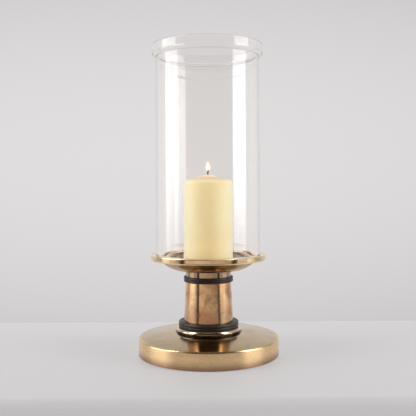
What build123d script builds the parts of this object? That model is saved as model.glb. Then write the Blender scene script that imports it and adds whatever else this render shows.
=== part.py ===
from build123d import *

import os
from math import radians, sin, sqrt

# A hurricane candle lantern, in millimetres, standing on z = 0 with its axis on Z.
#
# A weighted brass base carries a stem of stacked rings and a tapered sleeve, and the stem
# carries a shallow brass dish.  One threaded rod through the middle clamps all of it
# together.  A pillar candle stands in the dish, and a glass chimney with a stepped lip
# stands in a groove round the dish's rim.  The chimney and the candle both lift straight off.

# ---------------------------------------------------------------- driving dimensions
# Base: a hollow turned disc over an iron weight, with a felt sheet under both.
felt_thickness = 1.5
foot_gap = 0.8            # how far the metal rim stands above the table
base_radius = 84.5
base_rim_height = 21.5    # top edge of the side, above the table
base_rise = 6.1           # from that edge up to the flat seat in the middle
base_bow = 0.6            # how far the top bows above a straight cone
base_seat_radius = 37.6
base_edge_radius = 2.2
base_side_wall = 5.0
base_top_wall = 4.5
base_boss_radius = 15.0
felt_ledge = 2.8          # width of the metal ring left outside the felt
weight_thickness = 13.5
weight_gap = 2.5          # air between the weight and the side wall
weight_web = 5.0          # metal left above the nut's counterbore
weight_edge = 1.0
wrench_gap = 1.0          # room round a washer in its counterbore

# Stem: a polished foot ring, a dark band, a tapered sleeve, a dark band and a collar.
foot_ring_radius = 39.1
foot_ring_height = 5.4
foot_ring_taper = 1.7     # how far its sloping face leans in towards its top
foot_ring_crown = 0.15    # and how far that face bows out
foot_ring_land = 0.8      # the upright edge under that face
foot_ring_edge = 0.3
foot_neck_depth = 1.9     # how far the neck under it, which stands on the base, stands back
foot_neck_height = 2.2
lower_band_radius = 36.2
lower_band_height = 7.4
upper_band_radius = 29.9
upper_band_height = 6.9
band_corner = 1.6
band_groove_radius = 1.3
band_groove_depth = 0.55
sleeve_height = 47.1
sleeve_bottom_radius = 29.75
sleeve_top_radius = 27.65
sleeve_wall = 2.5
collar_radius = 27.45
collar_height = 7.1
collar_wall = 3.0
spigot_height = 2.5
spigot_clearance = 0.1

# Dish: a bowl with a thick flat rim, which is as wide as the chimney needs.
dish_rim_outside = 6.65   # rim outside the glass
dish_rim_inside = 2.55    # rim inside the groove that the glass stands in
dish_rim_overhang = 11.2  # from the rim's edge in to where the bowl meets its underside
dish_bowl_depth = 12.5
dish_turn_in = 11.0       # where the shallow underside turns up, in from the bowl's edge
dish_turn_up = 3.8        # and how far above the collar
dish_belly = 1.4          # how far the shallow part bows down
dish_rim_height = 7.0
dish_rim_edge = 0.8
dish_rim_under_edge = 2.0
dish_wall = 5.8
dish_floor = 5.7          # metal between the floor and the collar
dish_step_depth = 2.4
dish_corner_radius = 8.5
dish_spigot_height = 4.0
groove_depth = 0.8
groove_clearance = 0.5

# Clamping rod and its hardware.
rod_radius = 4.0
rod_clearance = 0.3
rod_chamfer = 0.6
rod_end_gap = 0.2         # from the rod's top end up to the floor of the dish
rod_tail = 0.7            # thread that shows below the bottom nut
nut_across_flats = 13.0
nut_height = 4.0
nut_chamfer = 0.7
washer_thickness = 1.5
base_washer_radius = 12.0
dish_washer_radius = 10.5
lock_washer_thickness = 2.0
lock_washer_radius = 7.4
lock_washer_slot = 1.2

# Chimney: a plain tube whose wall steps outwards into a lip at the top.
glass_radius = 62.85
glass_wall = 2.8
glass_height = 253.3
lip_overhang = 4.25       # how far the lip stands out from the tube
lip_height = 14.5         # from the rim down to where the tube starts to widen
lip_rise = 3.0            # the height over which it widens
lip_bend = 2.0
lip_rim_radius = 1.2
lip_inner_step = 1.6      # the inside widens this much higher than the outside
foot_polish = 0.6

# Candle: a pillar with a low dome, and its wick.
candle_radius = 30.0
candle_height = 109.7
candle_dome = 7.2
candle_crown = 0.8        # how far the dome bows above a straight cone
candle_shoulder = 4.0
candle_foot_chamfer = 1.0
wick_radius = 1.1
wick_showing = 5.2
wick_bend_radius = 7.0
wick_bend_angle = 30.0    # degrees

# ---------------------------------------------------------------- fits and heights
inner_radius = glass_radius - glass_wall
groove_inner = inner_radius - groove_clearance
groove_outer = glass_radius + groove_clearance
dish_lip_radius = groove_inner - dish_rim_inside
dish_radius = glass_radius + dish_rim_outside
dish_bowl_radius = dish_radius - dish_rim_overhang
bowl_inside = dish_bowl_radius - dish_wall
lip_radius = glass_radius + lip_overhang
felt_radius = base_radius - felt_ledge
weight_radius = base_radius - base_side_wall - weight_gap
weight_top = felt_thickness + weight_thickness
counterbore_top = weight_top - weight_web
seat_z = base_rim_height + base_rise
lower_band_z = seat_z + foot_ring_height
sleeve_z = lower_band_z + lower_band_height
upper_band_z = sleeve_z + sleeve_height
collar_z = upper_band_z + upper_band_height
dish_z = collar_z + collar_height
floor_z = dish_z + dish_floor
rim_under_z = dish_z + dish_bowl_depth
rim_z = rim_under_z + dish_rim_height
glass_z = rim_z - groove_depth
glass_top = glass_z + glass_height
lip_z = glass_top - lip_height
candle_top = floor_z + candle_height
rod_hole = rod_radius + rod_clearance
sleeve_taper = (sleeve_bottom_radius - sleeve_top_radius) / sleeve_height
rod_top = floor_z - rod_end_gap
washer_z = counterbore_top - washer_thickness
lock_washer_z = washer_z - lock_washer_thickness
nut_z = lock_washer_z - nut_height
rod_bottom = nut_z - rod_tail
dish_washer_z = dish_z
dish_nut_z = dish_washer_z + washer_thickness

os.makedirs("parts", exist_ok=True)


def finish(builder, name):
    """Label a finished piece and write it to its own STEP file."""
    builder.part.label = name
    export_step(builder.part, f"parts/{name}.step")
    print(name, round(builder.part.volume, 1))


# ---------------------------------------------------------------- base
# The shell is one turned casting: a domed top, a straight side, and a boss inside that
# the weight is pulled up against.  Its middle is a flat seat for the foot ring.
shell_inside = base_radius - base_side_wall
with BuildPart() as base_shell:
    with BuildSketch(Plane.XZ) as shell_profile:
        with BuildLine():
            Line((rod_hole, seat_z), (base_seat_radius, seat_z))
            SagittaArc((base_seat_radius, seat_z), (base_radius, base_rim_height), base_bow)
            Polyline(
                (base_radius, base_rim_height),
                (base_radius, foot_gap),
                (felt_radius, foot_gap),
                (felt_radius, felt_thickness),
                (shell_inside, felt_thickness),
                (shell_inside, base_rim_height - base_top_wall),
            )
            SagittaArc(
                (shell_inside, base_rim_height - base_top_wall),
                (base_seat_radius, seat_z - base_top_wall),
                -base_bow,
            )
            Polyline(
                (base_seat_radius, seat_z - base_top_wall),
                (base_boss_radius, seat_z - base_top_wall),
                (base_boss_radius, weight_top),
                (rod_hole, weight_top),
                (rod_hole, seat_z),
            )
        make_face()
        top_corner = shell_profile.vertices().group_by(Axis.X)[-1].sort_by(Axis.Y)[-1]
        fillet(top_corner, base_edge_radius)
        foot_corner = shell_profile.vertices().group_by(Axis.X)[-1].sort_by(Axis.Y)[0]
        fillet(foot_corner, foot_gap / 2)
    revolve(axis=Axis.Z)
finish(base_shell, "base_shell")

# The iron weight fills the shell, with a counterbore below for the nut and washers.
with BuildPart() as base_weight:
    with BuildSketch(Plane.XY.offset(felt_thickness)):
        Circle(weight_radius)
    extrude(amount=weight_thickness)
    with Locations(Plane.XY.offset(felt_thickness)):
        Hole(rod_hole, depth=2 * weight_thickness)
    with BuildSketch(Plane.XY.offset(felt_thickness)):
        Circle(base_washer_radius + wrench_gap)
    extrude(amount=counterbore_top - felt_thickness, mode=Mode.SUBTRACT)
    outer_edges = base_weight.edges().filter_by(GeomType.CIRCLE).sort_by(SortBy.RADIUS)[-2:]
    chamfer(outer_edges, weight_edge)
finish(base_weight, "base_weight")

with BuildPart() as felt_pad:
    with BuildSketch():
        Circle(felt_radius)
    extrude(amount=felt_thickness)
finish(felt_pad, "felt_pad")


# ---------------------------------------------------------------- stem
# The foot ring is a polished disc whose crowned face slopes in, over a narrow neck.
foot_neck_radius = foot_ring_radius - foot_neck_depth
neck_z = seat_z + foot_neck_height
face_low = (foot_ring_radius, neck_z + foot_ring_land)
face_high = (foot_ring_radius - foot_ring_taper, lower_band_z)
with BuildPart() as foot_ring:
    with BuildSketch(Plane.XZ) as ring_profile:
        with BuildLine():
            Polyline(
                face_high,
                (rod_hole, lower_band_z),
                (rod_hole, seat_z),
                (foot_neck_radius, seat_z),
                (foot_neck_radius, neck_z),
                (foot_ring_radius, neck_z),
                face_low,
            )
            SagittaArc(face_low, face_high, -foot_ring_crown)
        make_face()
        fillet(ring_profile.vertices().group_by(Axis.X)[-1], foot_ring_edge)
        fillet(ring_profile.vertices().group_by(Axis.Y)[-1].sort_by(Axis.X)[-1], foot_ring_edge)
    revolve(axis=Axis.Z)
finish(foot_ring, "foot_ring")


def dark_band(radius, bottom, height, spigots):
    """A dark disc with a grooved edge, and a round spigot for each (radius, from, to)."""
    with BuildPart() as band:
        with BuildSketch(Plane.XZ) as band_profile:
            with Locations((0, bottom)):
                Rectangle(radius, height, align=Align.MIN)
            fillet(band_profile.vertices().group_by(Axis.X)[-1], band_corner)
            groove_axis = radius + band_groove_radius - band_groove_depth
            with Locations((groove_axis, bottom + height / 2)):
                Circle(band_groove_radius, mode=Mode.SUBTRACT)
        revolve(axis=Axis.Z)
        for spigot_radius, low, high in spigots:
            with BuildSketch(Plane.XY.offset(low)):
                Circle(spigot_radius)
            extrude(amount=high - low)
        with BuildSketch(Plane.XY.offset(bottom - height)):
            Circle(rod_hole)
        extrude(amount=3 * height, mode=Mode.SUBTRACT)
    return band


# The sleeve's bore tapers with its outside, so each spigot is fitted to the narrower end
# of the stretch of bore that it stands in.
sleeve_spigot_low = sleeve_bottom_radius - sleeve_wall - sleeve_taper * spigot_height
lower_band = dark_band(
    lower_band_radius,
    lower_band_z,
    lower_band_height,
    [(sleeve_spigot_low - spigot_clearance, sleeve_z, sleeve_z + spigot_height)],
)
finish(lower_band, "lower_band")

with BuildPart() as sleeve:
    with BuildSketch(Plane.XZ):
        with BuildLine():
            Polyline(
                (sleeve_bottom_radius, sleeve_z),
                (sleeve_top_radius, upper_band_z),
                (sleeve_top_radius - sleeve_wall, upper_band_z),
                (sleeve_bottom_radius - sleeve_wall, sleeve_z),
                close=True,
            )
        make_face()
    revolve(axis=Axis.Z)
finish(sleeve, "sleeve")

collar_bore = collar_radius - collar_wall
upper_band = dark_band(
    upper_band_radius,
    upper_band_z,
    upper_band_height,
    [
        (
            sleeve_top_radius - sleeve_wall - spigot_clearance,
            upper_band_z - spigot_height,
            upper_band_z,
        ),
        (collar_bore - spigot_clearance, collar_z, collar_z + spigot_height),
    ],
)
finish(upper_band, "upper_band")

with BuildPart() as collar:
    with BuildSketch(Plane.XY.offset(collar_z)):
        Circle(collar_radius)
        Circle(collar_bore, mode=Mode.SUBTRACT)
    extrude(amount=collar_height)
finish(collar, "collar")

# ---------------------------------------------------------------- dish
# One turned casting: a bowl with a thick rim.  The rim's top has a shallow groove for the
# chimney and a small step down inside it, and the floor has a pocket for the top nut.
ledge_z = rim_z - dish_step_depth
pocket_radius = dish_washer_radius + wrench_gap
under_turn = (dish_bowl_radius - dish_turn_in, dish_z + dish_turn_up)
spigot_z = dish_z - dish_spigot_height
with BuildPart() as dish:
    with BuildSketch(Plane.XZ) as dish_profile:
        with BuildLine():
            shallow = SagittaArc((collar_radius, dish_z), under_turn, -dish_belly)
            TangentArc(shallow @ 1, (dish_bowl_radius, rim_under_z), tangent=shallow % 1)
            FilletPolyline(
                (dish_bowl_radius, rim_under_z),
                (dish_radius, rim_under_z),
                (dish_radius, rim_z),
                (groove_outer, rim_z),
                (groove_outer, glass_z),
                (groove_inner, glass_z),
                (groove_inner, rim_z),
                (dish_lip_radius, rim_z),
                (dish_lip_radius, ledge_z),
                (bowl_inside, ledge_z),
                (bowl_inside, floor_z),
                (pocket_radius, floor_z),
                (pocket_radius, dish_z),
                (rod_hole, dish_z),
                radius=[
                    dish_rim_under_edge,
                    dish_rim_edge,
                    0,
                    0,
                    0,
                    0,
                    dish_rim_edge / 2,
                    dish_rim_edge,
                    dish_rim_edge,
                    dish_corner_radius,
                    0,
                    0,
                ],
            )
            Polyline(
                (rod_hole, dish_z),
                (rod_hole, spigot_z),
                (collar_bore - spigot_clearance, spigot_z),
                (collar_bore - spigot_clearance, dish_z),
                (collar_radius, dish_z),
            )
        make_face()
    revolve(axis=Axis.Z)
finish(dish, "dish")

# ---------------------------------------------------------------- rod, nuts and washers
with BuildPart() as tie_rod:
    with BuildSketch(Plane.XY.offset(rod_bottom)):
        Circle(rod_radius)
    extrude(amount=rod_top - rod_bottom)
    chamfer(tie_rod.edges().filter_by(GeomType.CIRCLE), rod_chamfer)
finish(tie_rod, "tie_rod")


def hex_nut(bottom):
    """A hexagon nut on the rod, its corners turned off at both faces."""
    corner_radius = nut_across_flats / sqrt(3)
    with BuildPart() as nut:
        with BuildSketch(Plane.XY.offset(bottom)):
            RegularPolygon(corner_radius, 6)
            Circle(rod_radius, mode=Mode.SUBTRACT)
        extrude(amount=nut_height)
        with BuildSketch(Plane.XZ) as turned_outline:
            with Locations((0, bottom)):
                Rectangle(corner_radius, nut_height, align=Align.MIN)
            chamfer(turned_outline.vertices().group_by(Axis.X)[-1], nut_chamfer)
        revolve(axis=Axis.Z, mode=Mode.INTERSECT)
    return nut


def washer(bottom, outer, thickness):
    """A plain round washer on the rod."""
    with BuildPart() as ring:
        with BuildSketch(Plane.XY.offset(bottom)):
            Circle(outer)
            Circle(rod_hole, mode=Mode.SUBTRACT)
        extrude(amount=thickness)
    return ring


base_washer = washer(washer_z, base_washer_radius, washer_thickness)
finish(base_washer, "base_washer")

# The split lock washer is a plain ring sawn through once.
with BuildPart() as lock_washer:
    add(washer(lock_washer_z, lock_washer_radius, lock_washer_thickness).part)
    with BuildSketch(Plane.XY.offset(lock_washer_z)):
        with Locations((lock_washer_radius, 0)):
            Rectangle(2 * (lock_washer_radius - rod_radius) + 1, lock_washer_slot)
    extrude(amount=lock_washer_thickness, mode=Mode.SUBTRACT)
finish(lock_washer, "lock_washer")

base_nut = hex_nut(nut_z)
finish(base_nut, "base_nut")
dish_washer = washer(dish_washer_z, dish_washer_radius, washer_thickness)
finish(dish_washer, "dish_washer")
dish_nut = hex_nut(dish_nut_z)
finish(dish_nut, "dish_nut")

# ---------------------------------------------------------------- chimney
# The wall keeps its thickness where it steps out into the lip, so the inside steps out
# a little higher up than the outside.
lip_inner_radius = lip_radius - glass_wall
inner_step_z = lip_z + lip_inner_step
with BuildPart() as chimney:
    with BuildSketch(Plane.XZ):
        with BuildLine():
            FilletPolyline(
                (inner_radius, glass_z),
                (glass_radius, glass_z),
                (glass_radius, lip_z),
                (lip_radius, lip_z + lip_rise),
                (lip_radius, glass_top),
                (lip_inner_radius, glass_top),
                (lip_inner_radius, inner_step_z + lip_rise),
                (inner_radius, inner_step_z),
                radius=[
                    foot_polish,
                    foot_polish,
                    lip_bend,
                    lip_bend,
                    lip_rim_radius,
                    lip_rim_radius,
                    lip_bend,
                    lip_bend,
                ],
                close=True,
            )
        make_face()
    revolve(axis=Axis.Z)
finish(chimney, "chimney")

# ---------------------------------------------------------------- candle
shoulder_z = candle_top - candle_dome
with BuildPart() as candle:
    with BuildSketch(Plane.XZ) as candle_profile:
        with BuildLine():
            Polyline(
                (wick_radius, candle_top),
                (wick_radius, floor_z),
                (candle_radius, floor_z),
                (candle_radius, shoulder_z),
            )
            SagittaArc((candle_radius, shoulder_z), (wick_radius, candle_top), -candle_crown)
        make_face()
        outside = candle_profile.vertices().group_by(Axis.X)[-1].sort_by(Axis.Y)
        chamfer(outside[0], candle_foot_chamfer)
        fillet(outside[-1], candle_shoulder)
    revolve(axis=Axis.Z)
finish(candle, "candle")

# The wick runs the full height of the wax and leans over a little where it shows.
wick_bend_rise = wick_bend_radius * sin(radians(wick_bend_angle))
wick_bend_z = candle_top + wick_showing - wick_bend_rise
with BuildPart() as wick:
    with BuildLine(Plane.XZ):
        straight = Line((0, floor_z), (0, wick_bend_z))
        JernArc(straight @ 1, straight % 1, wick_bend_radius, -wick_bend_angle)
    with BuildSketch(Plane.XY.offset(floor_z)):
        Circle(wick_radius)
    sweep()
finish(wick, "wick")
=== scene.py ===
from math import cos, hypot, pi, radians, sin, tan

import bpy
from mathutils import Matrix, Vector, noise


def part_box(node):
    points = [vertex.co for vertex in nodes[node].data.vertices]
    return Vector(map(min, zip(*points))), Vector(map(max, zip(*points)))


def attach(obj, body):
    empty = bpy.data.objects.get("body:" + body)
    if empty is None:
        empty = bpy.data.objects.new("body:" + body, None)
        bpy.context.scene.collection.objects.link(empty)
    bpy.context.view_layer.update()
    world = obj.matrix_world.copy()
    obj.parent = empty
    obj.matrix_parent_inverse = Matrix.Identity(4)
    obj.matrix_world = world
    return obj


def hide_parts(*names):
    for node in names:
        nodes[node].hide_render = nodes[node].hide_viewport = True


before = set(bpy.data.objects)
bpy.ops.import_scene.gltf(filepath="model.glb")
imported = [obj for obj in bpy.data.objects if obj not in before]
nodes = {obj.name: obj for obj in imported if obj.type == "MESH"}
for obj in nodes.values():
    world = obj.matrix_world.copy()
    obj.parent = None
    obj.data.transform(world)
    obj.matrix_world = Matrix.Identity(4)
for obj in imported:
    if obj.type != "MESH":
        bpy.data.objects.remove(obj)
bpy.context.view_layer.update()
MM = 0.001


# ------------------------------------------------------------------------ base shell
# A turned brass casting, clamped to the stem and closed below by felt.  Its low domed top
# is buffed almost to a mirror and its side is left satin off the lathe, where it is given a
# brighter brass than the top as painted light.  Years of handling have browned the lacquer
# and rubbed it along the rim, where a brighter line is painted, part wear and part painted
# highlight.  The side darkens towards its foot, and the seat round the foot ring is darker,
# both painted shade.
def feed(tree, socket, value):
    """Link an input to another node's output, or give it a plain value."""
    if isinstance(value, bpy.types.NodeSocket):
        tree.links.new(value, socket)
    else:
        socket.default_value = value


def set_inputs(tree, node, inputs):
    """Feed several of a node's inputs, by name or by number."""
    for key, value in inputs.items():
        feed(tree, node.inputs[key], value)


def add_node(tree, kind, inputs=None, **settings):
    """A shader node with its settings and its inputs."""
    made = tree.nodes.new("ShaderNode" + kind)
    for key, value in settings.items():
        setattr(made, key, value)
    set_inputs(tree, made, inputs or {})
    return made


def math_node(tree, operation, first, second=0.0, third=0.0):
    """One step of arithmetic between sockets or plain numbers."""
    sides = {0: first, 1: second, 2: third}
    return add_node(tree, "Math", sides, operation=operation).outputs[0]


def product(tree, *factors):
    """Several sockets or plain numbers multiplied together."""
    total = factors[0]
    for factor in factors[1:]:
        total = math_node(tree, "MULTIPLY", total, factor)
    return total


def vector_node(tree, operation, first, second=(0.0, 0.0, 0.0), scale=1.0):
    """One step of arithmetic on vectors."""
    sides = {0: first, 1: second, 3: scale}
    return add_node(tree, "VectorMath", sides, operation=operation).outputs


def mix_colour(tree, share, first, second, how="MIX"):
    """A blend of two colours by a share from 0 to 1."""
    sides = {0: share, 6: first, 7: second}
    return add_node(tree, "Mix", sides, data_type="RGBA", blend_type=how).outputs[2]


def spread(tree, value, low, high, to_low=0.0, to_high=1.0, ease="SMOOTHSTEP"):
    """A value remapped from one span to another, held at the ends."""
    limits = {
        "Value": value,
        "From Min": low,
        "From Max": high,
        "To Min": to_low,
        "To Max": to_high,
    }
    return add_node(tree, "MapRange", limits, interpolation_type=ease).outputs[0]


def noise_at(tree, place, scale, detail, roughness=0.5, distortion=0.0):
    """A cloudy value about 0.5.  Scale is the clouds to one unit of place."""
    inputs = {
        "Vector": place,
        "Scale": scale,
        "Detail": detail,
        "Roughness": roughness,
        "Distortion": distortion,
    }
    return add_node(tree, "TexNoise", inputs).outputs[0]


def bump_from(tree, height, strength, depth):
    """A surface normal tilted by a height, depth metres from its lowest to its highest."""
    inputs = {"Strength": strength, "Distance": depth, "Height": height}
    return add_node(tree, "Bump", inputs).outputs[0]


def object_place(tree):
    """The place of a surface point on its object, in metres."""
    return add_node(tree, "TexCoord").outputs["Object"]


def turned_coordinates(tree):
    """A surface point's place, radius and height on the lathe, and its way from the axis."""
    place = object_place(tree)
    flat = vector_node(tree, "MULTIPLY", place, (1.0, 1.0, 0.0))[0]
    return {
        "place": place,
        "radius": vector_node(tree, "LENGTH", flat)["Value"],
        "way": vector_node(tree, "NORMALIZE", flat)[0],
        "height": add_node(tree, "SeparateXYZ", {0: place}).outputs["Z"],
    }


def new_group(name, inputs, outputs):
    """An empty shader group with named sockets, and its input and output nodes."""
    tree = bpy.data.node_groups.new(name, "ShaderNodeTree")
    for label, kind, value in inputs:
        socket = tree.interface.new_socket(label, in_out="INPUT", socket_type="NodeSocket" + kind)
        socket.default_value = value
    for label, kind in outputs:
        tree.interface.new_socket(label, in_out="OUTPUT", socket_type="NodeSocket" + kind)
    return tree, tree.nodes.new("NodeGroupInput").outputs, tree.nodes.new("NodeGroupOutput")


def use_group(tree, group, inputs):
    """A group placed in a material with its own values."""
    return add_node(tree, "Group", inputs, node_tree=group).outputs


def new_material(name):
    """A material with the plain shader, its node tree and that shader."""
    made = bpy.data.materials.new(name)
    made.use_nodes = True
    return made, made.node_tree, made.node_tree.nodes["Principled BSDF"]


def make_lathe_rings():
    """Fine rings left by the tool and the buff, long round the axis and narrow across it."""
    tree, given, result = new_group(
        "lathe_rings",
        [("Pitch", "Float", 0.0004), ("Wander", "Float", 3.0)],
        [("Height", "Float"), ("Sheen", "Float")],
    )
    sheen_rings = (1.0, 1.0, 0.13)
    at = turned_coordinates(tree)
    along = math_node(tree, "ADD", at["radius"], at["height"])
    count = math_node(tree, "DIVIDE", along, given["Pitch"])
    round_way = vector_node(tree, "SCALE", at["way"], scale=given["Wander"])[0]
    lift = add_node(tree, "CombineXYZ", {"Z": count}).outputs[0]
    where = vector_node(tree, "ADD", round_way, lift)[0]
    wide_where = vector_node(tree, "MULTIPLY", where, sheen_rings)[0]
    fine = noise_at(tree, where, 1.0, 3.0, roughness=0.7)
    wide = noise_at(tree, wide_where, 1.0, 2.0)
    set_inputs(tree, result, {"Height": fine, "Sheen": wide})
    return tree


def make_old_lacquer():
    """Soft clouds of clean, warm and browned metal under old lacquer."""
    tree, given, result = new_group(
        "old_lacquer",
        [
            ("Clean", "Color", (1, 1, 1, 1)),
            ("Warm", "Color", (1, 1, 1, 1)),
            ("Brown", "Color", (1, 1, 1, 1)),
            ("Cloud Size", "Float", 0.02),
            ("Warm Share", "Float", 0.5),
            ("Brown Share", "Float", 0.3),
        ],
        [("Color", "Color"), ("Tarnish", "Float")],
    )
    stain_shift = (0.31, 0.17, 0.23)
    stains_to_a_cloud = 1.7
    place = object_place(tree)
    stain_place = vector_node(tree, "ADD", place, stain_shift)[0]
    size = math_node(tree, "DIVIDE", 1.0, given["Cloud Size"])
    cloud = noise_at(tree, place, size, 3.0, distortion=0.2)
    small = math_node(tree, "MULTIPLY", size, stains_to_a_cloud)
    stain = noise_at(tree, stain_place, small, 3.0, distortion=0.3)
    warm = product(tree, spread(tree, cloud, 0.34, 0.66), given["Warm Share"])
    brown = product(tree, spread(tree, stain, 0.44, 0.74), given["Brown Share"])
    colour = mix_colour(tree, warm, given["Clean"], given["Warm"])
    colour = mix_colour(tree, brown, colour, given["Brown"])
    set_inputs(tree, result, {"Color": colour, "Tarnish": brown})
    return tree


def straight_distance(tree, across, up):
    """The distance for two offsets at right angles."""
    squares = [math_node(tree, "POWER", offset, 2.0) for offset in (across, up)]
    return math_node(tree, "SQRT", math_node(tree, "ADD", *squares))


def make_edge_band():
    """A mask along one turned edge: for rubbed wear and painted highlight along edges, and for
    painted shade in corners.
    """
    tree, given, result = new_group(
        "edge_band",
        [("Radius", "Float", 0.05), ("Height", "Float", 0.0), ("Width", "Float", 0.002)],
        [("Near Edge", "Float")],
    )
    at = turned_coordinates(tree)
    across = math_node(tree, "SUBTRACT", at["radius"], given["Radius"])
    up = math_node(tree, "SUBTRACT", at["height"], given["Height"])
    far = math_node(tree, "DIVIDE", straight_distance(tree, across, up), given["Width"])
    near = spread(tree, far, 0.35, 1.0, 1.0, 0.0)
    patchy = spread(tree, noise_at(tree, at["place"], 160.0, 4.0), 0.3, 0.6, 0.75, 1.0)
    set_inputs(tree, result, {"Near Edge": product(tree, near, patchy)})
    return tree


lathe_rings = make_lathe_rings()
old_lacquer = make_old_lacquer()
edge_band = make_edge_band()


def edge_mask(tree, radius, height, reach):
    """The band along one turned edge, which fades out at so many mm from it."""
    spot = {"Radius": radius * MM, "Height": height * MM, "Width": reach * MM}
    return use_group(tree, edge_band, spot)["Near Edge"]


def turned_brass(name, clean, warm, brown, polish, clouds, ring_pitch=0.4, ring_depth=0.0015,
                 edges=(), corners=(), satin=None, side=None, wax_and_under_shade=None, foot=None, grain=0.0):
    """Brass off the lathe.  clouds is (size in mm, warm share, brown share), edges and
    corners are (radius, height, reach) in mm: along edges a brighter line is painted, part
    rubbed wear and part painted highlight, and along corners the metal is painted darker as
    painted shade and dulled by old polish.  satin is (from radius, to radius, roughness), and
    side the colour there.  wax_and_under_shade is (radius, inside colour, underside colour) of
    a bowl: old wax inside and painted shade underneath.  foot is (low, high, share, colour) of
    painted shade that darkens a piece towards its foot."""
    tarnish_dulls = 0.10
    side_share = 0.85
    inside_share = 0.8
    under_shade_share = 0.6
    under_dulls = 0.12
    wear_highlight_share = 0.7
    wear_highlight_gain = 1.25
    crease_shade_colour = (0.055, 0.040, 0.024, 1)
    dirt_dulls = 0.25
    quarter_turn = 0.25

    made, tree, metal = new_material(name)
    at = turned_coordinates(tree)
    size, warm_share, brown_share = clouds
    lacquer = use_group(
        tree,
        old_lacquer,
        {
            "Clean": (*clean, 1),
            "Warm": (*warm, 1),
            "Brown": (*brown, 1),
            "Cloud Size": size * MM,
            "Warm Share": warm_share,
            "Brown Share": brown_share,
        },
    )
    rings = use_group(tree, lathe_rings, {"Pitch": ring_pitch * MM, "Wander": 2.5})
    colour = lacquer["Color"]
    rough = math_node(tree, "MULTIPLY_ADD", lacquer["Tarnish"], tarnish_dulls, polish)
    if satin:
        outside = spread(tree, at["radius"], satin[0] * MM, satin[1] * MM)
        rough = math_node(tree, "MULTIPLY_ADD", outside, satin[2] - polish, rough)
        # On the satin side the colour is a brighter brass than elsewhere: painted light.
        colour = mix_colour(tree, product(tree, outside, side_share), colour, (*side, 1))
    rough = product(tree, rough, spread(tree, rings["Sheen"], 0.3, 0.7, 0.92, 1.1))
    if wax_and_under_shade:
        normal = add_node(tree, "NewGeometry").outputs["Normal"]
        facing_up = add_node(tree, "SeparateXYZ", {0: normal}).outputs["Z"]
        bowl = spread(tree, at["radius"], (wax_and_under_shade[0] - 0.6) * MM, (wax_and_under_shade[0] + 0.2) * MM, 1.0, 0.0)
        upwards = spread(tree, facing_up, -0.18, -0.06)
        inside = product(tree, bowl, upwards)
        # Underneath the bowl the colour is darkened: painted shade.
        under_shade = product(tree, bowl, math_node(tree, "SUBTRACT", 1.0, upwards))
        colour = mix_colour(tree, product(tree, inside, inside_share), colour, (*wax_and_under_shade[1], 1))
        colour = mix_colour(tree, product(tree, under_shade, under_shade_share), colour, (*wax_and_under_shade[2], 1))
        rough = math_node(tree, "MULTIPLY_ADD", under_shade, under_dulls, rough)
    # Darker towards the foot: painted shade.
    if foot:
        foot_shade = spread(tree, at["height"], foot[0] * MM, foot[1] * MM, foot[2], 0.0)
        colour = mix_colour(tree, foot_shade, colour, (*foot[3], 1))
    # Along edges a brighter line is painted: part rubbed wear, part painted highlight.
    wear_highlight_colour = (*[min(1.0, part * wear_highlight_gain) for part in clean], 1)
    for edge in edges:
        wear_highlight = product(tree, edge_mask(tree, *edge), wear_highlight_share)
        colour = mix_colour(tree, wear_highlight, colour, wear_highlight_colour)
    # Along corners the colour is darkened as painted shade, and old polish dulls the metal.
    for corner in corners:
        crease_shade = edge_mask(tree, *corner)
        colour = mix_colour(tree, crease_shade, colour, crease_shade_colour)
        rough = math_node(tree, "MULTIPLY_ADD", crease_shade, dirt_dulls, rough)
    finish = {
        "Base Color": colour,
        "Roughness": rough,
        "Normal": bump_from(tree, rings["Height"], 1.0, ring_depth * MM),
        "Metallic": 1.0,
    }
    if grain:
        finish["Anisotropic"] = grain
        finish["Anisotropic Rotation"] = quarter_turn
        finish["Tangent"] = add_node(tree, "Tangent", direction_type="RADIAL", axis="Z").outputs[0]
    set_inputs(tree, metal, finish)
    return made


def finish_node(name, material):
    """Give a CAD piece its finish."""
    mesh = nodes[name].data
    mesh.materials.clear()
    mesh.materials.append(material)


base_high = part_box("base_shell")[1]
base_radius = base_high.x / MM
base_seat = base_high.z / MM
base_rim = 21.5
base_edge = 2.2
base_seat_corner = 38.0
finish_node(
    "base_shell",
    turned_brass(
        "base_brass",
        clean=(0.60, 0.475, 0.285),
        warm=(0.56, 0.42, 0.24),
        brown=(0.38, 0.28, 0.16),
        polish=0.11,
        clouds=(30, 0.8, 0.5),
        # A brighter line along the rim: part wear, part painted highlight.
        edges=[(base_radius - base_edge / 3, base_rim - base_edge / 3, 1.3)],
        ring_depth=0.0003,
        # Painted shade on the seat round the foot ring.
        corners=[(base_seat_corner, base_seat, 3.2)],
        satin=(base_radius - base_edge - 1.0, base_radius - 1.0, 0.27),
        # A brighter brass on the side: painted light.
        side=(1.0, 0.70, 0.38),
        # Painted shade, darker towards the foot.
        foot=(0.0, 12.5, 0.95, (0.34, 0.20, 0.12)),
        grain=0.85,
    ),
)


# ----------------------------------------------------------------- weight and felt pad
# The weight is grey iron cast in sand and dipped in black paint, so that the lantern
# can't tip.  A disc of wool felt is glued over it and keeps the table from scratches.
def sand_cast_iron():
    made, tree, paint = new_material("black_cast_iron")
    place = object_place(tree)
    sand = noise_at(tree, place, 700.0, 6.0)
    bare = spread(tree, noise_at(tree, place, 60.0, 5.0), 0.6, 0.68)
    finish = {
        "Base Color": mix_colour(tree, bare, (0.018, 0.018, 0.019, 1), (0.11, 0.10, 0.095, 1)),
        "Roughness": spread(tree, sand, 0.3, 0.7, 0.45, 0.7),
        "Normal": bump_from(tree, sand, 0.8, 0.0003),
    }
    set_inputs(tree, paint, finish)
    return made


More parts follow.
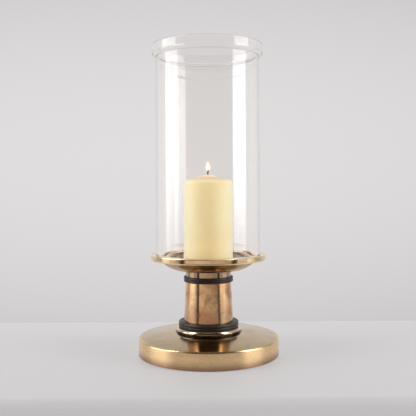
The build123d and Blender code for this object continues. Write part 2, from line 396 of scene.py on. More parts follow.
def wool_felt():
    made, tree, wool = new_material("wool_felt")
    place = object_place(tree)
    hairs = noise_at(tree, place, 900.0, 6.0, distortion=3.0)
    matted = spread(tree, noise_at(tree, place, 90.0, 4.0), 0.4, 0.7, 0.0, 0.4)
    colour = mix_colour(tree, hairs, (0.012, 0.020, 0.014, 1), (0.055, 0.075, 0.058, 1))
    finish = {
        "Base Color": mix_colour(tree, matted, colour, (0.02, 0.03, 0.022, 1)),
        "Roughness": 0.95,
        "Normal": bump_from(tree, hairs, 0.9, 0.0004),
        "Sheen Weight": 0.5,
        "Sheen Roughness": 0.6,
    }
    set_inputs(tree, wool, finish)
    return made


finish_node("base_weight", sand_cast_iron())
finish_node("felt_pad", wool_felt())

# ------------------------------------------------------------------------- foot ring
# A brass ring, turned and buffed bright, whose face slopes in towards the lower band.  It
# stands on the base's flat seat by a narrow neck, painted dark as painted shade in the
# recess under the ring.
foot_neck_radius = 37.2
foot_neck_height = 2.2
finish_node(
    "foot_ring",
    turned_brass(
        "foot_ring_brass",
        clean=(0.84, 0.66, 0.47),
        warm=(0.76, 0.55, 0.37),
        brown=(0.45, 0.29, 0.17),
        polish=0.06,
        clouds=(12, 0.4, 0.2),
        # Painted shade in the recess of the neck.
        corners=[(foot_neck_radius, base_seat + foot_neck_height / 2, 2.6)],
    ),
)


# -------------------------------------------------------------------------- dark bands
# Two bronze rings, blackened in a chemical bath and waxed, clamped at the ends of the
# sleeve.  A groove runs round the edge of each, and their edges are painted grey, part worn
# wax and part painted highlight.
def blackened_bronze(name, radius, bottom, top):
    made, tree, bronze = new_material(name)
    rings = use_group(tree, lathe_rings, {"Pitch": 0.5 * MM, "Wander": 5.0})
    cloudy = noise_at(tree, object_place(tree), 130.0, 5.0)
    colour = mix_colour(tree, cloudy, (0.035, 0.031, 0.029, 1), (0.085, 0.073, 0.066, 1))
    edge_grey_share = 0.35
    for height in (bottom, top):
        # Grey along both edges: part worn wax, part painted highlight.
        worn_and_highlit = product(tree, edge_mask(tree, radius - 0.6, height, 1.5), edge_grey_share)
        colour = mix_colour(tree, worn_and_highlit, colour, (0.22, 0.185, 0.155, 1))
    finish = {
        "Base Color": colour,
        "Roughness": spread(tree, cloudy, 0.3, 0.7, 0.34, 0.5),
        "Normal": bump_from(tree, rings["Height"], 1.0, 0.00002),
        "Metallic": 0.6,
    }
    set_inputs(tree, bronze, finish)
    return made


lower_band_bottom = 33.0
lower_band_top = 40.4
upper_band_bottom = 87.5
upper_band_top = 94.4
for band, band_bottom, band_top in (
    ("lower_band", lower_band_bottom, lower_band_top),
    ("upper_band", upper_band_bottom, upper_band_top),
):
    band_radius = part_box(band)[1].x / MM
    finish_node(band, blackened_bronze(band + "_bronze", band_radius, band_bottom, band_top))

# ------------------------------------------------------------------- sleeve and collar
# The tapered sleeve and the short collar are brass tube, turned outside and lacquered.
# The lacquer has gone patchy and reddish, most of all on the sleeve where it is held.
finish_node(
    "sleeve",
    turned_brass(
        "sleeve_brass",
        clean=(1.0, 0.72, 0.40),
        warm=(0.92, 0.53, 0.28),
        brown=(0.26, 0.12, 0.10),
        polish=0.14,
        clouds=(25, 0.9, 0.65),
        # Painted shade, darker towards the lower band.
        foot=(41.0, 68.0, 0.5, (0.40, 0.20, 0.13)),
        ring_pitch=0.5,
        ring_depth=0.001,
        grain=0.6,
    ),
)
finish_node(
    "collar",
    turned_brass(
        "collar_brass",
        clean=(0.68, 0.48, 0.32),
        warm=(0.58, 0.38, 0.26),
        brown=(0.36, 0.22, 0.16),
        polish=0.08,
        clouds=(12, 0.8, 0.5),
    ),
)

# ------------------------------------------------------------------------------- dish
# One turned casting, a bowl with a thick flat rim, clamped to the collar by the rod.  The
# rim is the brightest brass here, cleaned each time that the chimney is lifted off, with a
# brighter line painted along its edges, part wear and part painted highlight.  The bowl is
# dulled by old wax inside, and it is painted darker underneath and in its inner corners as
# painted shade.
dish_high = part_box("dish")[1]
dish_radius = dish_high.x / MM
dish_top = dish_high.z / MM
dish_rim_height = 7.0
dish_bowl_inside = 52.5
dish_bowl_outside = 57.0
dish_ledge = 118.6
dish_floor = 107.2
finish_node(
    "dish",
    turned_brass(
        "dish_brass",
        clean=(1.0, 0.78, 0.47),
        warm=(1.0, 0.66, 0.39),
        brown=(0.74, 0.44, 0.26),
        polish=0.09,
        clouds=(17, 0.7, 0.3),
        # Brighter lines along the rim's edges: part wear, part painted highlight.
        edges=[
            (dish_radius - 0.3, dish_top - 0.3, 1.0),
            (dish_radius - 0.6, dish_top - dish_rim_height + 0.6, 1.4),
        ],
        # Painted shade in the bowl's inner corners.
        corners=[
            (dish_bowl_inside - 0.2, dish_ledge - 0.3, 1.5),
            (dish_bowl_inside - 5.0, dish_floor + 2.0, 3.0),
        ],
        # Old wax inside the bowl, and painted shade underneath.
        wax_and_under_shade=(dish_bowl_outside, (0.54, 0.47, 0.44), (0.33, 0.16, 0.065)),
    ),
)


# --------------------------------------------------------------- rod, nuts and washers
# Plain zinc-plated hardware.  The rod runs through the whole stem, and the nut and split
# washer under the weight and the nut in the dish's floor clamp every piece to it.
def zinc_plate():
    made, tree, zinc = new_material("zinc_plate")
    place = object_place(tree)
    flecks = add_node(tree, "TexVoronoi", {"Vector": place, "Scale": 900.0}).outputs["Color"]
    tone = add_node(tree, "SeparateColor", {0: flecks}).outputs[0]
    stain = noise_at(tree, place, 220.0, 5.0)
    stained = spread(tree, stain, 0.5, 0.8, 0.0, 0.6)
    colour = mix_colour(tree, tone, (0.52, 0.54, 0.56, 1), (0.68, 0.69, 0.69, 1))
    finish = {
        "Base Color": mix_colour(tree, stained, colour, (0.55, 0.50, 0.38, 1)),
        "Roughness": spread(tree, stain, 0.3, 0.7, 0.25, 0.42),
        "Metallic": 1.0,
    }
    set_inputs(tree, zinc, finish)
    return made


plated = zinc_plate()
for piece in ("tie_rod", "base_washer", "lock_washer", "base_nut", "dish_washer", "dish_nut"):
    finish_node(piece, plated)


# ------------------------------------------------------------------------------ candle
# A pressed pillar of ivory wax with a low pointed top, lit a few minutes ago.  The wax is
# translucent, has taken a few soft dents, and has begun to melt in a small pool.
def rounded(points, steps):
    """A closed outline through (radius, height, fillet) points, with an arc at each fillet."""
    outline = []
    for i, (r, z, fillet) in enumerate(points):
        corner = Vector((r, z))
        if not fillet:
            outline.append(corner)
            continue
        before = Vector(points[i - 1][:2]) - corner
        after = Vector(points[(i + 1) % len(points)][:2]) - corner
        half = before.angle(after) / 2
        before.normalize()
        after.normalize()
        centre = corner + (before + after).normalized() * fillet / sin(half)
        start = corner + before * fillet / tan(half) - centre
        end = corner + after * fillet / tan(half) - centre
        turn = start.angle_signed(end)
        for k in range(steps + 1):
            angle = -turn * k / steps
            across = start.x * cos(angle) - start.y * sin(angle)
            up = start.x * sin(angle) + start.y * cos(angle)
            outline.append(centre + Vector((across, up)))
    return outline


def split_up(outline, least):
    """An outline with its long runs cut evenly into pieces that are at least this long."""
    finer = []
    for i, point in enumerate(outline):
        after = outline[(i + 1) % len(outline)]
        cuts = max(1, int((after - point).length / least))
        finer.extend(point.lerp(after, k / cuts) for k in range(cuts))
    return finer


def turned(name, outline, move, segments=192, sharp=40):
    """A closed (radius, height) outline in mm turned round the axis.  move takes a point and
    gives it back in its worn or wavy place."""
    points = []
    faces = []
    count = len(outline)
    for i in range(segments):
        angle = 2 * pi * i / segments
        for r, z in outline:
            points.append(move(Vector((r * cos(angle), r * sin(angle), z))) * MM)
    for i in range(segments):
        j = (i + 1) % segments
        for k in range(count):
            m = (k + 1) % count
            faces.append((i * count + k, j * count + k, j * count + m, i * count + m))
    mesh = bpy.data.meshes.new(name)
    mesh.from_pydata(points, [], faces)
    mesh.polygons.foreach_set("use_smooth", [True] * len(faces))
    mesh.set_sharp_from_angle(angle=radians(sharp))
    mesh.update()
    piece = bpy.data.objects.new(name, mesh)
    bpy.context.collection.objects.link(piece)
    return piece


candle_low, candle_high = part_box("candle")
candle_radius = candle_high.x / MM
candle_foot = candle_low.z / MM
candle_top = candle_high.z / MM
candle_dome = 7.2
candle_shoulder = 4.0
candle_foot_edge = 1.2
dome_bend = 30
dome_bend_radius = candle_radius * 0.5
dome_bend_drop = candle_dome * 0.42
pool_radius = 6.0
pool_unevenness = 0.12
pool_depth = 0.3
pool_ripple = 5
wick_radius = 1.1
wick_clearance = 0.5
wax_shrinkage = 0.16
dent_depth = 0.14
broad_dent = 24
small_dent = 9
small_dent_shift = Vector((5, 1, 2))


def wax_dents(point):
    """Soft unevenness of pressed wax, and the pool melted round the wick."""
    soft = noise.noise(point / broad_dent)
    soft += 0.5 * noise.noise(point / small_dent + small_dent_shift)
    flat = hypot(point.x, point.y)
    moved = point.copy()
    if flat > wick_radius + wick_clearance:
        inwards = wax_shrinkage + dent_depth * soft
        moved.x -= point.x / flat * inwards
        moved.y -= point.y / flat * inwards
    if point.z > candle_top - candle_dome:
        ripple_place = Vector((point.x, point.y, 3)) / pool_ripple
        wander = pool_unevenness * noise.noise(ripple_place)
        edge = pool_radius * (1 + wander)
        if flat < edge:
            moved.z -= pool_depth * (1 - (flat / edge) ** 2) ** 0.5
    return moved


candle_outline = rounded(
    [
        (wick_radius, candle_foot, 0),
        (candle_radius, candle_foot, candle_foot_edge),
        (candle_radius, candle_top - candle_dome, candle_shoulder),
        (dome_bend_radius, candle_top - dome_bend_drop, dome_bend),
        (wick_radius, candle_top, 0),
    ],
    steps=8,
)
candle = turned("candle_wax", split_up(candle_outline, least=1.6), wax_dents)


def ivory_wax():
    """Wax lit by painted glow: its emission paints a faint glow all through it, the light that
    the flame throws down near the wick and that the bright dish throws up at its foot, and a
    painted bluish-white light on its sides where they are seen edge on.  Its dome is painted
    darker, as painted shade."""
    deep_wax = (0.93, 0.76, 0.395, 1)
    pale_wax = (0.945, 0.79, 0.435, 1)
    shaded_dome_wax = (0.60, 0.46, 0.23, 1)
    dome_start = (candle_top - 8.5) * MM
    dome_full = (candle_top - 5.0) * MM
    wick_exit = (candle_top - 1.0) * MM
    wet_radius = 0.006
    dry_radius = 0.0085
    glow_reach = 0.022
    dish_light_top = 0.149
    dish_light_full = 0.122
    inner_light = (0.13, 0.075, 0.025, 1)
    dish_light = (0.36, 0.23, 0.078, 1)
    edge_glow_light = (0.0, 0.20, 0.34, 1)
    flame_light = (2.3, 0.60, 0.13, 1)

    made, tree, wax = new_material("ivory_wax")
    at = turned_coordinates(tree)
    mottle = spread(tree, noise_at(tree, at["place"], 45.0, 4.0, distortion=0.4), 0.35, 0.65)
    grain = noise_at(tree, at["place"], 1300.0, 3.0)
    dome = spread(tree, at["height"], dome_start, dome_full)
    colour = mix_colour(tree, mottle, deep_wax, pale_wax)
    # The dome is painted darker: painted shade.
    colour = mix_colour(tree, dome, colour, shaded_dome_wax)
    rise = math_node(tree, "SUBTRACT", at["height"], wick_exit)
    distance = straight_distance(tree, at["radius"], rise)
    wet = spread(tree, distance, wet_radius, dry_radius, 1.0, 0.0)
    glow = spread(tree, distance, 0.0, glow_reach, 1.0, 0.0, ease="SMOOTHERSTEP")
    glow = math_node(tree, "POWER", glow, 1.6)
    thrown_up = spread(tree, at["height"], dish_light_top, dish_light_full)
    light = mix_colour(tree, thrown_up, inner_light, dish_light)
    # Painted light on the sides where they are seen edge on.
    edge_on = add_node(tree, "LayerWeight", {"Blend": 0.5}).outputs["Facing"]
    edge_glow = spread(tree, edge_on, 0.0, 0.5, ease="LINEAR")
    edge_glow = product(tree, edge_glow, math_node(tree, "SUBTRACT", 1.0, dome))
    light = mix_colour(tree, edge_glow, light, edge_glow_light, how="ADD")
    light = mix_colour(tree, glow, light, flame_light)
    rough = spread(tree, grain, 0.3, 0.7, 0.36, 0.44)
    finish = {
        "Base Color": colour,
        "Roughness": product(tree, rough, spread(tree, wet, 0.0, 1.0, 1.0, 0.25)),
        "Normal": bump_from(tree, grain, 0.6, 0.00005),
        "Emission Color": light,
        "Emission Strength": 0.45,
        "Subsurface Weight": 0.8,
        "Subsurface Radius": (1.0, 0.7, 0.3),
        "Subsurface Scale": 0.007,
        "IOR": 1.44,
        "Sheen Weight": 0.45,
        "Sheen Roughness": 0.5,
    }
    set_inputs(tree, wax, finish)
    return made


candle.data.materials.append(ivory_wax())
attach(candle, "candle")
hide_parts("candle")

# -------------------------------------------------------------------------------- wick
# Three cotton yarns laid together, waxed, and burnt black where they stand out of the
# wax.  The end has curled over, as a wick does once it is lit.
wick_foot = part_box("wick")[0].z / MM
wick_bend_radius = 7.0
wick_bend = radians(30.0)
wick_showing = 5.2
wick_straight = candle_top + wick_showing - wick_bend_radius * sin(wick_bend) - wick_foot
wick_length = wick_straight + wick_bend_radius * wick_bend
yarns = 3
yarn_radius = 0.55
yarn_offset = 0.5
yarn_lay = 4.0
points_to_a_lay = 12
tip_taper = 0.35


def wick_line(along):
    """A point of the wick's middle, in mm, and the angle at which it leans."""
    if along < wick_straight:
        return Vector((0, 0, wick_foot + along)), 0.0
    angle = (along - wick_straight) / wick_bend_radius
    out = wick_bend_radius * (1 - cos(angle))
    up = wick_foot + wick_straight + wick_bend_radius * sin(angle)
    return Vector((out, 0, up)), angle


wick_curve = bpy.data.curves.new("braided_wick", "CURVE")
wick_curve.dimensions = "3D"
wick_curve.bevel_depth = yarn_radius * MM
wick_curve.bevel_resolution = 3
wick_curve.use_fill_caps = True
wick_steps = int(wick_length / yarn_lay * points_to_a_lay)
for yarn in range(yarns):
    spline = wick_curve.splines.new("POLY")
    spline.points.add(wick_steps)
    for k in range(wick_steps + 1):
        along = wick_length * k / wick_steps
        middle, lean = wick_line(along)
        turn = 2 * pi * (along / yarn_lay + yarn / yarns)
        offset = yarn_offset * (1 - tip_taper * (k / wick_steps) ** 12)
        side = Vector((cos(turn) * cos(lean), sin(turn), -cos(turn) * sin(lean))) * offset
        spline.points[k].co = (*(middle + side) * MM, 1)
wick = bpy.data.objects.new("braided_wick", wick_curve)
bpy.context.collection.objects.link(wick)


def waxed_cotton():
    made, tree, cotton = new_material("waxed_cotton")
    at = turned_coordinates(tree)
    hairs = noise_at(tree, at["place"], 2600.0, 4.0)
    burnt = spread(tree, at["height"], (candle_top - 1.2) * MM, (candle_top + 0.6) * MM)
    ember = spread(tree, at["height"], (candle_top + 4.2) * MM, (candle_top + 5.6) * MM)
    clean = mix_colour(tree, hairs, (0.62, 0.55, 0.40, 1), (0.80, 0.73, 0.56, 1))
    char = mix_colour(tree, hairs, (0.006, 0.004, 0.004, 1), (0.035, 0.020, 0.016, 1))
    finish = {
        "Base Color": mix_colour(tree, burnt, clean, char),
        "Roughness": 0.85,
        "Normal": bump_from(tree, hairs, 0.7, 0.0001),
        "Emission Color": mix_colour(tree, ember, (0.0, 0.0, 0.0, 1), (1.0, 0.22, 0.03, 1)),
        "Emission Strength": 0.8,
    }
    set_inputs(tree, cotton, finish)
    return made


wick_curve.materials.append(waxed_cotton())
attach(wick, "candle")
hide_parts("wick")

# ------------------------------------------------------------------------------- flame
# Burning wax vapour, a teardrop on the wick's end: a white-hot core in a yellow body and
# a faint orange skin.  Each is a shell of its own, so it looks soft from every side.
flame_above_wax = 3.4
flame_below_tip = 1.0
flame_lean_share = 0.6
flame_foot = candle_top + flame_above_wax
flame_lean = wick_line(wick_length - flame_below_tip)[0].x * flame_lean_share
flame_foot_colour = (0.55, 0.35, 0.30, 1)


def flame_shell(name, width, height, foot, glow, foot_share, top_share, strength):
    """One teardrop of light.  Its cover goes from foot_share up to top_share."""
    rings = 28
    belly_drop = 0.72
    fullness = 0.85
    tip_narrowing = 0.25
    least_radius = 0.01
    axis_radius = 0.005
    outline = []
    for k in range(rings + 1):
        share = k / rings
        bulge = sin(pi * share ** belly_drop) ** fullness
        radius = width / 2 * bulge * (1 - tip_narrowing * share)
        outline.append(Vector((max(radius, least_radius), foot + height * share)))
    axis_end = Vector((axis_radius, foot + height))
    axis_start = Vector((axis_radius, foot))

    def lean(point):
        left = 1 - (point.z - foot) / height
        return Vector((point.x + flame_lean * left, point.y, point.z))

    shell = turned(name, outline + [axis_end, axis_start], lean, segments=48, sharp=80)
    made, tree, gas = new_material(name)
    height_now = turned_coordinates(tree)["height"]
    share_up = spread(tree, height_now, foot * MM, (foot + height) * MM, ease="LINEAR")
    lit = spread(tree, share_up, 0.0, 0.3)
    finish = {
        "Base Color": (0, 0, 0, 1),
        "Roughness": 1.0,
        "Specular IOR Level": 0.0,
        "Alpha": spread(tree, share_up, 0.0, 0.35, foot_share, top_share),
        "Emission Color": mix_colour(tree, lit, flame_foot_colour, (*glow, 1)),
        "Emission Strength": strength,
    }
    set_inputs(tree, gas, finish)
    shell.data.materials.append(made)
    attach(shell, "candle")


flame_shell(
    "flame_core",
    width=5.2,
    height=11.0,
    foot=flame_foot + 0.8,
    glow=(1.0, 0.97, 0.85),
    foot_share=0.25,
    top_share=0.90,
    strength=2.6,
)
flame_shell(
    "flame_body",
    width=7.2,
    height=13.0,
    foot=flame_foot + 0.3,
    glow=(1.0, 0.80, 0.42),
    foot_share=0.10,
    top_share=0.40,
    strength=1.4,
)
flame_shell(
    "flame_skin",
    width=9.6,
    height=15.4,
    foot=flame_foot - 0.4,
    glow=(1.0, 0.66, 0.50),
    foot_share=0.03,
    top_share=0.10,
    strength=1.1,
)

# ----------------------------------------------------------------------------- chimney
# A blown tube of clear soda glass, its foot ground and its top end swaged out over a
# former into a stepped lip and fire-polished.  The wall is never quite even, and the tube
# stands by its own weight in the dish's rim.
glass_low, glass_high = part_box("chimney")
glass_foot = glass_low.z / MM
glass_top = glass_high.z / MM
lip_radius = glass_high.x / MM
glass_radius = 62.85
glass_wall = 2.8
lip_height = 14.5
lip_rise = 3.0
lip_inner_step = 1.6
lip_bend = 2.0
lip_rim = 1.2
foot_polish = 0.6
glass_inside = glass_radius - glass_wall
lip_inside = lip_radius - glass_wall
lip_foot = glass_top - lip_height
inner_foot = lip_foot + lip_inner_step
wave_length = 38
wave_stretch = 0.35
broad_wave = 0.022
small_wave = 0.004
small_waves_to_a_broad = 3.1
inner_wave_shift = Vector((0, 0, 40))
most_wave = broad_wave + small_wave


def blown_wall(point):
    """The slight waves of blown glass, different inside and out."""
    flat = hypot(point.x, point.y)
    inner = flat < glass_inside + glass_wall / 2
    around = Vector((point.x, point.y, point.z * wave_stretch)) / wave_length
    if inner:
        around += inner_wave_shift
    wave = broad_wave * noise.noise(around)
    wave += small_wave * noise.noise(around * small_waves_to_a_broad)
    if not inner:
        wave -= most_wave
    return Vector((point.x * (1 + wave / flat), point.y * (1 + wave / flat), point.z))


chimney_outline = rounded(
    [
        (glass_inside, glass_foot, foot_polish),
        (glass_radius, glass_foot, foot_polish),
        (glass_radius, lip_foot, lip_bend),
        (lip_radius, lip_foot + lip_rise, lip_bend),
        (lip_radius, glass_top, lip_rim),
        (lip_inside, glass_top, lip_rim),
        (lip_inside, inner_foot + lip_rise, lip_bend),
        (glass_inside, inner_foot, lip_bend),
    ],
    steps=8,
)
chimney_outline = split_up(chimney_outline, least=6.0)
chimney = turned("chimney_glass", chimney_outline, blown_wall, segments=256, sharp=75)


def soda_glass():
    """Clear glass, with a faint painted light where it is seen edge on."""
    glass_edge_light = (0.052, 0.050, 0.049, 1)
    made, tree, glass = new_material("soda_glass")
    film = noise_at(tree, object_place(tree), 30.0, 5.0)
    edge_on = add_node(tree, "LayerWeight", {"Blend": 0.5}).outputs["Facing"]
    # Painted light where the glass is seen edge on.
    glass_edge_glow = product(
        tree, spread(tree, edge_on, 0.25, 0.45), spread(tree, edge_on, 0.8, 0.95, 1.0, 0.3)
    )
    finish = {
        "Base Color": mix_colour(tree, film, (0.978, 0.968, 0.952, 1), (0.988, 0.978, 0.962, 1)),
        "Roughness": spread(tree, film, 0.55, 0.8, 0.0, 0.03),
        "IOR": 1.51,
        "Transmission Weight": 1.0,
        "Emission Color": mix_colour(tree, glass_edge_glow, (0.0, 0.0, 0.0, 1), glass_edge_light),
        "Emission Strength": 1.0,
    }
    set_inputs(tree, glass, finish)
    return made


chimney.data.materials.append(soda_glass())
chimney.visible_shadow = False
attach(chimney, "chimney")
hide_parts("chimney")

# ------------------------------------------------------------------- table and backdrop
# The lantern stands on a white-lacquered board with softened edges, in front of a pale
# wall that is a little brighter in the middle.  Both give some light of their own.
board_front = -0.178
board_back = 0.196
board_half_width = 1.3
board_thickness = 0.06
board_edge = 0.009
board_face_top = -0.001
board_face_full = -0.0085
wall_distance = 1.5
wall_half_width = 2.4
wall_bottom = -1.2
wall_top = 2.4
wall_bright_x = -0.25
wall_bright_z = 0.32
wall_brightest = 0.75
wall_dimmest = 0.45
wall_fall_sideways = 0.03
wall_fall_upwards = 0.34

board_outline = [
    Vector((board_front, -board_thickness)),
    Vector((board_front, 0.0)),
    Vector((board_back, 0.0)),
    Vector((board_back, -board_thickness)),
]
board_mesh = bpy.data.meshes.new("board")
board_mesh.from_pydata(
    [(x, y, z) for x in (-board_half_width, board_half_width) for y, z in board_outline],
    [],
    [(0, 1, 2, 3), (7, 6, 5, 4), (0, 4, 5, 1), (1, 5, 6, 2), (2, 6, 7, 3), (3, 7, 4, 0)],
)
board_mesh.polygons.foreach_set("use_smooth", [True] * len(board_mesh.polygons))
board = bpy.data.objects.new("board", board_mesh)
bpy.context.collection.objects.link(board)
softened = board.modifiers.new("softened", "BEVEL")
softened.width = board_edge
softened.segments = 8


def white_lacquer():
    made, tree, paint = new_material("white_board")
    place = object_place(tree)
    cloud = noise_at(tree, place, 3.0, 2.0)
    height = add_node(tree, "SeparateXYZ", {0: place}).outputs["Z"]
    # The front face glows a little more than the top: painted light.
    lit_front_face = spread(tree, height, board_face_top, board_face_full)
    finish = {
        "Base Color": mix_colour(tree, cloud, (0.31, 0.306, 0.31, 1), (0.335, 0.331, 0.335, 1)),
        "Roughness": 0.5,
        "Emission Color": mix_colour(tree, lit_front_face, (0.378, 0.370, 0.376, 1), (0.42, 0.411, 0.417, 1)),
        "Emission Strength": 1.0,
    }
    set_inputs(tree, paint, finish)
    return made


board_mesh.materials.append(white_lacquer())

wall_mesh = bpy.data.meshes.new("wall")
wall_mesh.from_pydata(
    [
        (-wall_half_width, wall_distance, wall_bottom),
        (wall_half_width, wall_distance, wall_bottom),
        (wall_half_width, wall_distance, wall_top),
        (-wall_half_width, wall_distance, wall_top),
    ],
    [],
    [(0, 1, 2, 3)],
)
wall = bpy.data.objects.new("wall", wall_mesh)
bpy.context.collection.objects.link(wall)


def falling_off(tree, place, centre, rate):
    """Light lost with the square of the distance from the wall's brightest place."""
    away = math_node(tree, "SUBTRACT", place, centre)
    return product(tree, math_node(tree, "POWER", away, 2.0), rate)


def lit_plaster():
    made, tree, plaster = new_material("lit_wall")
    place = add_node(tree, "SeparateXYZ", {0: object_place(tree)}).outputs
    upwards = falling_off(tree, place["Z"], wall_bright_z, wall_fall_upwards)
    sideways = falling_off(tree, place["X"], wall_bright_x, wall_fall_sideways)
    lost = math_node(tree, "ADD", upwards, sideways)
    light = math_node(tree, "SUBTRACT", wall_brightest, lost)
    light = math_node(tree, "MAXIMUM", light, wall_dimmest)
    finish = {
        "Base Color": (0, 0, 0, 1),
        "Specular IOR Level": 0.0,
        "Emission Color": vector_node(tree, "SCALE", (1.0, 0.97, 0.978), scale=light)[0],
        "Emission Strength": 1.0,
    }
    set_inputs(tree, plaster, finish)
    return made


wall_mesh.materials.append(lit_plaster())


# ----------------------------------------------------------------------- studio light
# Two tall soft boxes, glowing sheets out of the camera's sight, stand beside the lantern.
# The room gives the rest: mid-grey sides with a bright strip high up on each, a dim
# ceiling, dark gaps before the sides, and a dark front with a pale band at table height.
def bearings(*degrees):
    """Bearings from the front, as the shaders measure them."""
    return [radians(angle) for angle in degrees]


def heights(*degrees):
    """Heights above the horizon, as the Z of a direction."""
    return [sin(radians(angle)) for angle in degrees]


def between(tree, value, rise, fall):
    """1 between two spans, fading to 0 over each of them."""
    return product(tree, spread(tree, value, *rise), spread(tree, value, *fall, 1.0, 0.0))


def off_front_of(tree, parts):
    """The bearing of a place from the front, left and right, and its size alone."""
    to_front = math_node(tree, "MULTIPLY", parts["Y"], -1.0)
    bearing = math_node(tree, "ARCTAN2", parts["X"], to_front)
    return bearing, math_node(tree, "ABSOLUTE", bearing)


def mirrored_once(tree, seen):
    """1 for light that reaches the eye by one mirror at most, and less after a second one,
    as dull old lacquer loses more of it each time."""
    lost_at_second = 0.7
    twice = math_node(tree, "GREATER_THAN", seen["Glossy Depth"], 1.5)
    return math_node(tree, "MULTIPLY_ADD", twice, -lost_at_second, 1.0)


def soft_box(name, bearing, width, high, radiance, soft_side):
    """A tall glowing sheet at a bearing in degrees from the camera's side of the lantern.
    It is brightest at the chimney's height, dims towards its foot and its top, and fades out
    over soft_side degrees at its front edge and half as many at its back edge.  It can't be
    seen straight through the glass, or from behind."""
    distance = 1.2
    low = 0.004
    foot_dim = (-0.06, 0.34, 0.24, 1.0)
    top_dim = (0.46, 0.76, 1.0, 0.1)
    inner = abs(bearing) - width / 2
    outer = abs(bearing) + width / 2
    front_edge = bearings(inner, inner + soft_side)
    back_edge = bearings(outer - soft_side / 2, outer)
    half = distance * tan(radians(width / 2))
    mesh = bpy.data.meshes.new(name)
    mesh.from_pydata(
        [(-half, 0, low), (half, 0, low), (half, 0, high), (-half, 0, high)],
        [],
        [(0, 1, 2, 3)],
    )
    box = bpy.data.objects.new(name, mesh)
    bpy.context.collection.objects.link(box)
    angle = radians(bearing)
    box.location = (distance * sin(angle), -distance * cos(angle), 0)
    box.rotation_euler = (0, 0, angle + pi)
    box.visible_camera = False

    sheet = bpy.data.materials.new(name)
    sheet.use_nodes = True
    tree = sheet.node_tree
    tree.nodes.clear()
    geometry = add_node(tree, "NewGeometry").outputs
    place = add_node(tree, "SeparateXYZ", {0: geometry["Position"]}).outputs
    off_front = off_front_of(tree, place)[1]
    seen = add_node(tree, "LightPath").outputs
    bounces = math_node(tree, "ADD", seen["Diffuse Depth"], seen["Glossy Depth"])
    straight = math_node(tree, "LESS_THAN", bounces, 0.5)
    through_glass = product(tree, straight, seen["Is Transmission Ray"])
    light = product(
        tree,
        between(tree, off_front, front_edge, back_edge),
        spread(tree, place["Z"], *foot_dim),
        spread(tree, place["Z"], *top_dim),
        math_node(tree, "SUBTRACT", 1.0, through_glass),
        mirrored_once(tree, seen),
        math_node(tree, "SUBTRACT", 1.0, geometry["Backfacing"]),
        radiance,
    )
    glow = add_node(tree, "Emission", {"Strength": light}).outputs[0]
    clear = add_node(tree, "BsdfTransparent").outputs[0]
    both = add_node(tree, "AddShader", {0: glow, 1: clear}).outputs[0]
    add_node(tree, "OutputMaterial", {"Surface": both})
    mesh.materials.append(sheet)


soft_box("left_soft_box", bearing=-84, width=42, high=1.1, radiance=3.6, soft_side=7)
soft_box("right_soft_box", bearing=73, width=38, high=1.1, radiance=3.4, soft_side=4)

# Each span is where one tone of the room gives way to the next.
front_end = bearings(44, 49)
front_left_to_right = bearings(-45, 45)
right_front_share = 0.62
side_start = bearings(55, 62)
table_line = heights(-1, 6)
table_face = heights(-9.4, -7.4)
strip_foot = heights(33, 38)
strip_head = heights(51, 57)
strip_front = bearings(60, 66)
strip_back = bearings(80, 90)
ceiling_start = heights(66, 74)
box_front = bearings(45, 62)
box_back = bearings(108, 125)
front_light = (0.68, 0.59, 0.53)
front_dark = (0.03, 0.028, 0.026, 1)
table_face_tone = (0.14, 0.125, 0.11, 1)
gap_tone = (0.05, 0.045, 0.04, 1)
side_tone = (0.42, 0.41, 0.40, 1)
ceiling_tone = (0.15, 0.145, 0.14, 1)
strip_light = (6.5, 6.5, 6.5, 1)
backdrop_tone = (0.68, 0.665, 0.67, 1)
box_glare = (0.76, 0.745, 0.745, 1)

room = bpy.data.worlds.new("room")
bpy.context.scene.world = room
room.use_nodes = True
room_tree = room.node_tree
way = add_node(room_tree, "TexCoord").outputs["Generated"]
way_parts = add_node(room_tree, "SeparateXYZ", {0: way}).outputs
way_up = way_parts["Z"]
bearing, off_front = off_front_of(room_tree, way_parts)
seen = add_node(room_tree, "LightPath").outputs

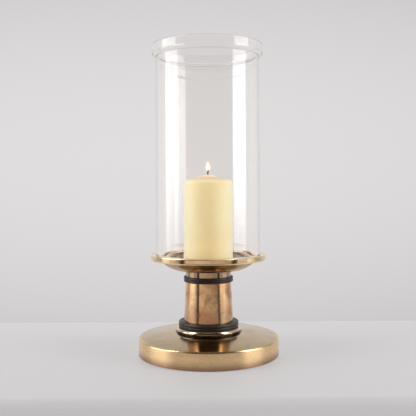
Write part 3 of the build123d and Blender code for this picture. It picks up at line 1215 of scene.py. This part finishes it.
left_lean = spread(
    room_tree, bearing, *front_left_to_right, 1.0, right_front_share, ease="LINEAR"
)
front_tone = vector_node(room_tree, "SCALE", front_light, scale=left_lean)[0]
over_table = spread(room_tree, way_up, *table_line)
front_tone = mix_colour(room_tree, over_table, front_tone, front_dark)
under_table = spread(room_tree, way_up, *table_face, 1.0, 0.0)
front_tone = mix_colour(room_tree, under_table, front_tone, table_face_tone)
in_front = spread(room_tree, off_front, *front_end, 1.0, 0.0)
tone = mix_colour(room_tree, in_front, gap_tone, front_tone)
tone = mix_colour(room_tree, spread(room_tree, off_front, *side_start), tone, side_tone)
tone = mix_colour(room_tree, spread(room_tree, way_up, *ceiling_start), tone, ceiling_tone)
strip = product(
    room_tree,
    between(room_tree, way_up, strip_foot, strip_head),
    between(room_tree, off_front, strip_front, strip_back),
    mirrored_once(room_tree, seen),
)
tone = mix_colour(room_tree, strip, tone, strip_light)

# What shows behind the lantern and through the glass is pale all round instead, with a
# little glare where the soft boxes stand.
glare = product(
    room_tree, between(room_tree, off_front, box_front, box_back), seen["Is Transmission Ray"]
)
backdrop = mix_colour(room_tree, glare, backdrop_tone, box_glare)
pale = math_node(room_tree, "MAXIMUM", seen["Is Camera Ray"], seen["Is Transmission Ray"])
tone = mix_colour(room_tree, pale, tone, backdrop)
set_inputs(room_tree, room_tree.nodes["Background"], {"Color": tone})

# ----------------------------------------------------------------------------- camera
# Level, a little lower than the candle's shoulder, on a short telephoto lens.  It is rolled
# by a third of a degree.
camera_distance = 0.814
camera_height = 0.2036
camera_roll = -0.31
camera_data = bpy.data.cameras.new("camera")
camera_data.sensor_width = 36
camera_data.lens = 58
camera_data.shift_x = 0.0002
camera_data.shift_y = -0.054
camera = bpy.data.objects.new("camera", camera_data)
bpy.context.collection.objects.link(camera)
camera.location = (0, -camera_distance, camera_height)
camera.rotation_euler = (radians(90), 0, 0)
camera.rotation_euler.rotate_axis("Z", radians(camera_roll))
scene = bpy.context.scene
scene.camera = camera
scene.view_settings.view_transform = "Standard"
